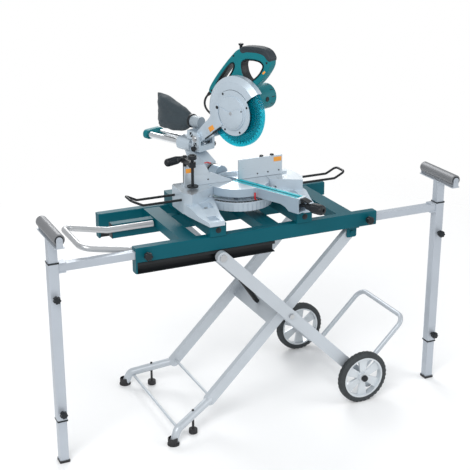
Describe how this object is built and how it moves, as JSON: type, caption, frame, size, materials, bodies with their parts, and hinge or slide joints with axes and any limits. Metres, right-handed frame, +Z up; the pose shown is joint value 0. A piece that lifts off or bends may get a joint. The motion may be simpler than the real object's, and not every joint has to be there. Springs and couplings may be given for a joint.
{
  "type": "mitre saw on stand",
  "caption": "Sliding compound mitre saw bolted to a folding wheeled scissor stand, with extending arms that carry roller work supports.",
  "frame": {"origin": "on the floor under the middle of the overall box, cord left out", "axes": "+X along the saw fence towards the wheels, +Y towards the back of the saw, +Z up"},
  "size_m": [1.744, 0.9084, 1.537],
  "materials": {
    "stand_paint": "satin dark teal powder coat",
    "post_paint": "satin silver-grey coat",
    "bright_steel": "plain steel",
    "black_steel": "black coated steel",
    "chromed": "polished",
    "casting": "as cast, shot blasted",
    "blade_steel": "ground steel",
    "teal_shell": "moulded teal plastic",
    "guard_clear": "clear tinted plastic",
    "board_plastic": "moulded plastic",
    "black_plastic": "moulded black plastic",
    "black_rubber": "moulded rubber",
    "roller_steel": "zinc plated",
    "tyre_rubber": "ribbed tyre",
    "bag_cloth": "woven cloth"
  },
  "bodies": {
    "frame": {"front_rail": "stand_paint", "rear_rail": "stand_paint", "cross_frame": "stand_paint", "slide_tracks": "black_steel", "saw_brackets": "stand_paint", "transport_handle": "post_paint", "saw_base": "casting", "fence": "casting"},
    "foot_leg_pair": {"foot_legs": "post_paint", "rubber_feet": "black_rubber", "pivot_bolts": "bright_steel"},
    "wheel_leg_pair": {"wheel_legs": "post_paint", "leg_shafts": "bright_steel"},
    "wheel_front": {"tyre_front": "tyre_rubber", "rim_front": "bright_steel"},
    "wheel_rear": {"tyre_rear": "tyre_rubber", "rim_rear": "bright_steel"},
    "release": {"release_bar": "black_steel"},
    "strut_outer": {"strut_tube": "black_steel"},
    "strut_inner": {"strut_rod": "bright_steel"},
    "arm_left": {"support_arm_left": "post_paint"},
    "stem_left": {"roller_stem_left": "post_paint"},
    "roller_left": {"roller_left": "roller_steel"},
    "leg_left": {"support_leg_left": "post_paint"},
    "arm_right": {"support_arm_right": "post_paint"},
    "stem_right": {"roller_stem_right": "post_paint"},
    "roller_right": {"roller_right": "roller_steel"},
    "leg_right": {"support_leg_right": "post_paint"},
    "sub_fence_left": {"sub_fence_left": "casting"},
    "side_bar_left": {"side_bar_left": "black_steel"},
    "sub_fence_right": {"sub_fence_right": "casting"},
    "side_bar_right": {"side_bar_right": "black_steel"},
    "vise": {"vise_arm": "black_steel"},
    "vise_clamp": {"vise_screw": "black_plastic"},
    "turntable": {"turn_base": "casting", "kerf_boards": "board_plastic"},
    "grip": {"mitre_grip": "black_plastic"},
    "latch": {"mitre_latch": "black_plastic"},
    "bevel": {"bevel_arm": "casting"},
    "bevel_clamp": {"bevel_lever": "black_plastic"},
    "slide_head": {"carriage": "casting", "slide_pipes": "chromed", "pipe_end_cap": "teal_shell", "dust_nozzle": "black_plastic", "dust_bag": "bag_cloth"},
    "saw_head": {"gear_case": "casting", "blade_case": "casting", "motor_housing": "teal_shell", "handle": "teal_shell", "handle_grip": "black_rubber", "cord_relief": "black_rubber", "cord_lead": "black_rubber", "cord_coil": "black_rubber", "plug": "black_plastic"},
    "blade": {"saw_blade": "blade_steel", "spindle": "bright_steel"},
    "motor": {"armature": "bright_steel"},
    "guard": {"lower_guard": "guard_clear"},
    "switch": {"trigger": "black_plastic"},
    "lock": {"lock_button": "black_plastic"}
  },
  "joints": [
    {"name": "stand_fold", "type": "hinge", "parent": "frame", "child": "foot_leg_pair", "pos_m": [0.43, -0.02, 0.758], "axis": [0, 1, 0], "range_deg": [0, 35]},
    {"name": "leg_cross", "type": "hinge", "parent": "foot_leg_pair", "child": "wheel_leg_pair", "pos_m": [0.12594, -0.02, 0.45394], "axis": [0, 1, 0], "range_deg": [-70.1, 0]},
    {"name": "wheel_front_turn", "type": "hinge", "parent": "wheel_leg_pair", "child": "wheel_front", "pos_m": [0.4649, -0.309, 0.115], "axis": [0, 1, 0], "continuous": true},
    {"name": "wheel_rear_turn", "type": "hinge", "parent": "wheel_leg_pair", "child": "wheel_rear", "pos_m": [0.4649, 0.269, 0.115], "axis": [0, 1, 0], "continuous": true},
    {"name": "release_lift", "type": "hinge", "parent": "wheel_leg_pair", "child": "release", "pos_m": [-0.05932, -0.02, 0.63921], "axis": [0, 1, 0], "range_deg": [0, 12], "stiffness_Nm_per_rad": 8, "springref_deg": -11.46},
    {"name": "strut_swing", "type": "hinge", "parent": "foot_leg_pair", "child": "strut_outer", "pos_m": [0.09766, -0.02, 0.42566], "axis": [0, 1, 0], "range_deg": [-76.42, 0]},
    {"name": "strut_stroke", "type": "slide", "parent": "strut_outer", "child": "strut_inner", "axis": [-0.5601, 0, 0.8284], "range_m": [-0.04107, 0]},
    {"name": "arm_left_slide", "type": "slide", "parent": "frame", "child": "arm_left", "axis": [-1, 0, 0], "range_m": [-0.14, 0.25]},
    {"name": "stem_left_height", "type": "slide", "parent": "arm_left", "child": "stem_left", "axis": [0, 0, 1], "range_m": [-0.05, 0.12]},
    {"name": "roller_left_turn", "type": "hinge", "parent": "stem_left", "child": "roller_left", "pos_m": [-0.85, -0.24, 0.961], "axis": [0, 1, 0], "continuous": true},
    {"name": "leg_left_height", "type": "slide", "parent": "arm_left", "child": "leg_left", "axis": [0, 0, 1], "range_m": [0, 0.06]},
    {"name": "arm_right_slide", "type": "slide", "parent": "frame", "child": "arm_right", "axis": [1, 0, 0], "range_m": [-0.14, 0.25]},
    {"name": "stem_right_height", "type": "slide", "parent": "arm_right", "child": "stem_right", "axis": [0, 0, 1], "range_m": [-0.05, 0.12]},
    {"name": "roller_right_turn", "type": "hinge", "parent": "stem_right", "child": "roller_right", "pos_m": [0.85, -0.24, 0.961], "axis": [0, 1, 0], "continuous": true},
    {"name": "leg_right_height", "type": "slide", "parent": "arm_right", "child": "leg_right", "axis": [0, 0, 1], "range_m": [0, 0.06]},
    {"name": "sub_fence_left_slide", "type": "slide", "parent": "frame", "child": "sub_fence_left", "axis": [-1, 0, 0], "range_m": [0, 0.04]},
    {"name": "side_bar_left_slide", "type": "slide", "parent": "frame", "child": "side_bar_left", "axis": [-1, 0, 0], "range_m": [0, 0.07]},
    {"name": "sub_fence_right_slide", "type": "slide", "parent": "frame", "child": "sub_fence_right", "axis": [1, 0, 0], "range_m": [0, 0.06]},
    {"name": "side_bar_right_slide", "type": "slide", "parent": "frame", "child": "side_bar_right", "axis": [1, 0, 0], "range_m": [0, 0.07]},
    {"name": "vise_height", "type": "slide", "parent": "frame", "child": "vise", "axis": [0, 0, 1], "range_m": [0, 0.03]},
    {"name": "vise_clamp_travel", "type": "slide", "parent": "vise", "child": "vise_clamp", "axis": [0, 0, 1], "range_m": [-0.007, 0.02]},
    {"name": "mitre_turn", "type": "hinge", "parent": "frame", "child": "turntable", "pos_m": [0, -0.03, 0.983], "axis": [0, 0, 1], "range_deg": [-69.5, 24.5]},
    {"name": "mitre_grip_turn", "type": "hinge", "parent": "turntable", "child": "grip", "pos_m": [0.15307, -0.39955, 0.953], "axis": [0.3827, -0.9239, 0], "range_deg": [-60, 60]},
    {"name": "mitre_latch_lift", "type": "hinge", "parent": "turntable", "child": "latch", "pos_m": [0.13241, -0.34966, 0.9815], "axis": [0.9239, 0.3827, 0], "range_deg": [-8, 0], "stiffness_Nm_per_rad": 2, "springref_deg": 5.73},
    {"name": "bevel_tilt", "type": "hinge", "parent": "turntable", "child": "bevel", "pos_m": [0, -0.03, 0.983], "axis": [-0.3827, 0.9239, 0], "range_deg": [-45, 0]},
    {"name": "bevel_clamp_turn", "type": "hinge", "parent": "bevel", "child": "bevel_clamp", "pos_m": [-0.10026, 0.21206, 1.013], "axis": [0.3827, -0.9239, 0], "range_deg": [0, 40]},
    {"name": "head_slide", "type": "slide", "parent": "bevel", "child": "slide_head", "axis": [0.3827, -0.9239, 0], "range_m": [0, 0.18]},
    {"name": "chop", "type": "hinge", "parent": "slide_head", "child": "saw_head", "pos_m": [-0.07462, 0.15016, 1.131], "axis": [0.9239, 0.3827, 0], "range_deg": [0, 42], "stiffness_Nm_per_rad": 40, "springref_deg": -51.57},
    {"name": "guard_open", "type": "hinge", "parent": "saw_head", "child": "guard", "pos_m": [0, -0.03, 1.268], "axis": [0.9239, 0.3827, 0], "range_deg": [-150.1, 0]},
    {"name": "blade_turn", "type": "hinge", "parent": "saw_head", "child": "blade", "pos_m": [0, -0.03, 1.268], "axis": [0.9239, 0.3827, 0], "continuous": true},
    {"name": "motor_turn", "type": "hinge", "parent": "saw_head", "child": "motor", "pos_m": [0.02538, 0.00541, 1.2983], "axis": [0.9239, 0.3827, 0], "continuous": true},
    {"name": "switch_squeeze", "type": "hinge", "parent": "saw_head", "child": "switch", "pos_m": [0.05944, -0.07682, 1.496], "axis": [0.9239, 0.3827, 0], "range_deg": [0, 6], "stiffness_Nm_per_rad": 2, "springref_deg": -2.86},
    {"name": "lock_press", "type": "slide", "parent": "saw_head", "child": "lock", "axis": [0, 0, -1], "range_m": [0, 0.003], "stiffness_N_per_m": 600, "springref_m": -0.001}
  ],
  "couplings": [
    {"joint": "leg_cross", "follows": "stand_fold", "ratio": -2},
    {"joint": "strut_swing", "follows": "stand_fold", "ratio": -2.1806},
    {"joint": "strut_stroke", "follows": "stand_fold", "m_per_rad": -0.066898},
    {"joint": "guard_open", "follows": "chop", "ratio": -3.5714},
    {"joint": "motor_turn", "follows": "blade_turn", "ratio": -3.1429}
  ]
}
